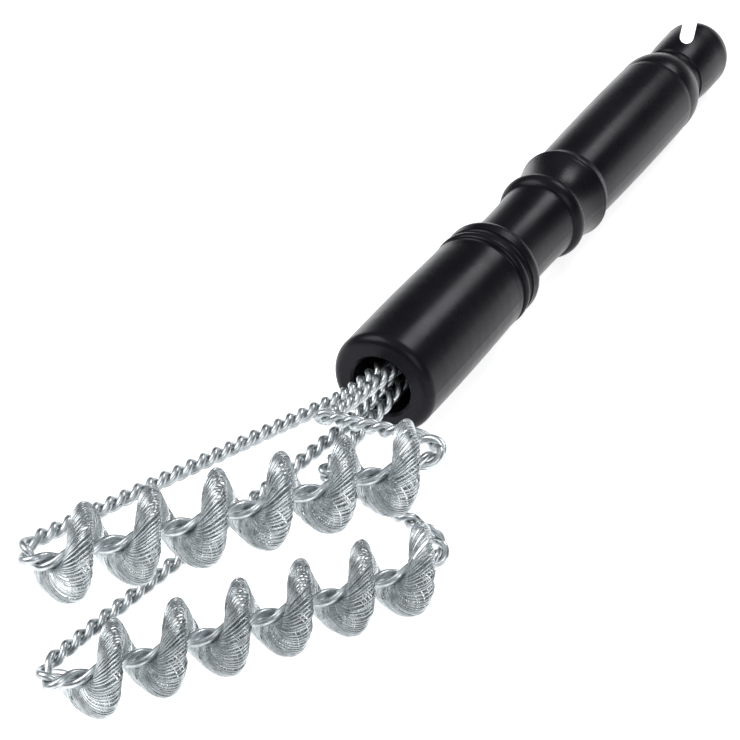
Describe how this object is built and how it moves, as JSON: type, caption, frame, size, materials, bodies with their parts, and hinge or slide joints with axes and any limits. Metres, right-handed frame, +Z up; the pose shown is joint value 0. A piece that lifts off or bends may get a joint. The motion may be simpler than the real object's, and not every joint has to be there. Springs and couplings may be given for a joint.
{
  "type": "grill cleaning brush",
  "caption": "Long-handled grill scrubber with closed loops of twisted steel wire that clamp helical wire coils, set in a turned black plastic handle.",
  "frame": {"origin": "on the table, under the middle of the bounding box, with the brush lying on its side, at rest on the coils of its right loop and on the end of its handle", "axes": "+X along the handle, from the wire head to the hanging end, +Z up from the table, from the right loop to the left loop"},
  "size_m": [0.3847, 0.0827, 0.0643],
  "materials": {
    "handle_plastic": "black moulded plastic with a satin gloss",
    "plug_plastic": "black matte plastic",
    "strand_wire": "bright zinc coated wire",
    "coil_wire": "bright fine wire"
  },
  "bodies": {
    "root": {"handle_body": "handle_plastic", "anchor_plug": "plug_plastic", "coil_left": "coil_wire", "coil_right": "coil_wire", "inlet_left_a": "strand_wire", "inlet_left_b": "strand_wire", "inlet_right_a": "strand_wire", "inlet_right_b": "strand_wire", "stem_left_a": "strand_wire", "stem_left_b": "strand_wire", "stem_right_a": "strand_wire", "stem_right_b": "strand_wire", "nose_left_a": "strand_wire", "nose_left_b": "strand_wire", "nose_right_a": "strand_wire", "nose_right_b": "strand_wire", "core_left_a": "strand_wire", "core_left_b": "strand_wire", "core_right_a": "strand_wire", "core_right_b": "strand_wire", "heel_left_a": "strand_wire", "heel_left_b": "strand_wire", "heel_right_a": "strand_wire", "heel_right_b": "strand_wire", "cross_left_a": "strand_wire", "cross_left_b": "strand_wire", "cross_right_a": "strand_wire", "cross_right_b": "strand_wire", "elbow_left_a": "strand_wire", "elbow_left_b": "strand_wire", "elbow_right_a": "strand_wire", "elbow_right_b": "strand_wire", "tail_left_a": "strand_wire", "tail_left_b": "strand_wire", "tail_right_a": "strand_wire", "tail_right_b": "strand_wire"}
  },
  "joints": []
}
